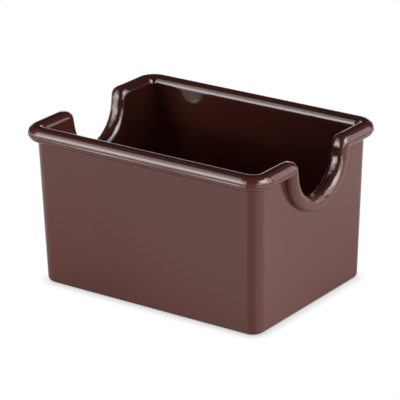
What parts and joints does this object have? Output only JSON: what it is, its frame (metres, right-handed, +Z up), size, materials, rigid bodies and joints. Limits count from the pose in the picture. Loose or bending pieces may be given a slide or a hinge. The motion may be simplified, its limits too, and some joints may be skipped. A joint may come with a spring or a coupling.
{
  "type": "sugar packet holder",
  "caption": "Open rectangular table caddy with leaning walls, a round beaded rim and a U-shaped thumb notch in the middle of each short end, for a row of sugar packets.",
  "frame": {"origin": "middle of the underside, on the table", "axes": "+Z up, X along the length with +X to the right end, -Y to the front long wall"},
  "size_m": [0.1072, 0.0814, 0.062],
  "materials": {
    "brown_plastic": "gloss"
  },
  "bodies": {
    "root": {"floor_panel": "brown_plastic", "front_wall": "brown_plastic", "back_wall": "brown_plastic", "left_end_wall": "brown_plastic", "right_end_wall": "brown_plastic", "front_left_post": "brown_plastic", "front_right_post": "brown_plastic", "back_left_post": "brown_plastic", "back_right_post": "brown_plastic", "front_rim": "brown_plastic", "back_rim": "brown_plastic", "front_left_rim_corner": "brown_plastic", "front_right_rim_corner": "brown_plastic", "back_left_rim_corner": "brown_plastic", "back_right_rim_corner": "brown_plastic", "left_rim_front": "brown_plastic", "left_rim_back": "brown_plastic", "left_notch_rim": "brown_plastic", "right_rim_front": "brown_plastic", "right_rim_back": "brown_plastic", "right_notch_rim": "brown_plastic"}
  },
  "joints": []
}
